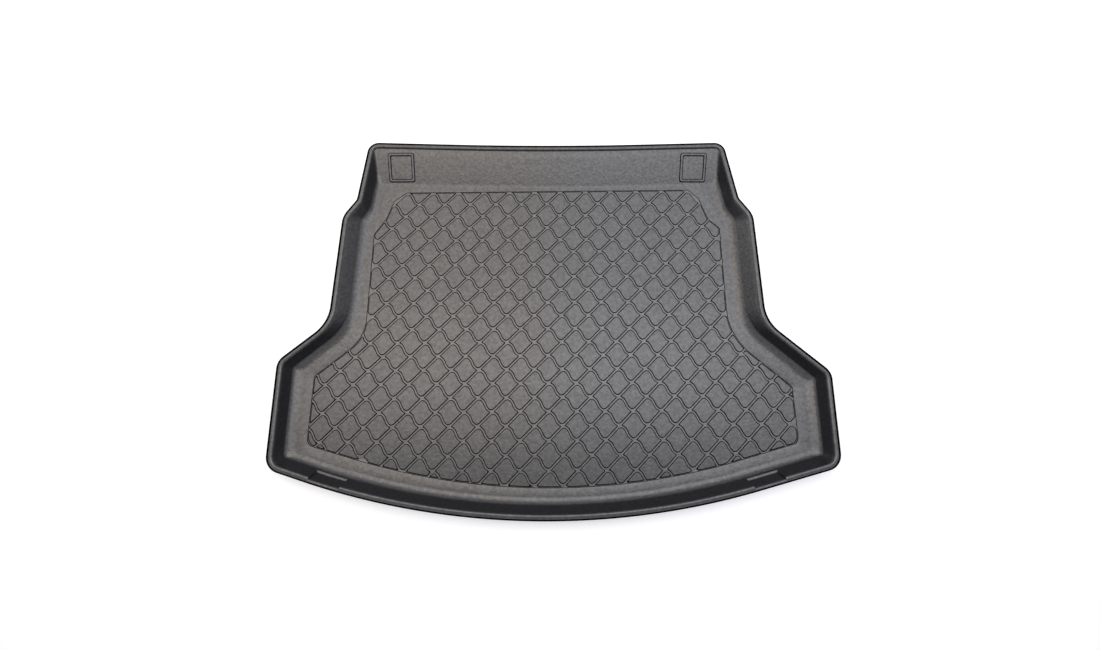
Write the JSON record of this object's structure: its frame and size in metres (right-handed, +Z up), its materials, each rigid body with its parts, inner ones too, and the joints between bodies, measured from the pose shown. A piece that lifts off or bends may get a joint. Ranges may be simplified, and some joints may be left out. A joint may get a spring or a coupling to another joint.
{
  "type": "car boot liner",
  "caption": "Shallow formed plastic tray for a car boot floor, with a rolled lip, a ramp at the seat side, wheel-arch pockets and a raised diamond tread",
  "frame": {"origin": "centre of the bounding box in plan, at the underside of the floor", "axes": "+X across the car to the right in the picture, +Y towards the rear seats, +Z up from the boot floor"},
  "size_m": [1.3524, 0.9666, 0.048],
  "materials": {
    "moulded_plastic": "fine grained, dark grey"
  },
  "bodies": {
    "root": {"boot_liner": "moulded_plastic"}
  },
  "joints": []
}
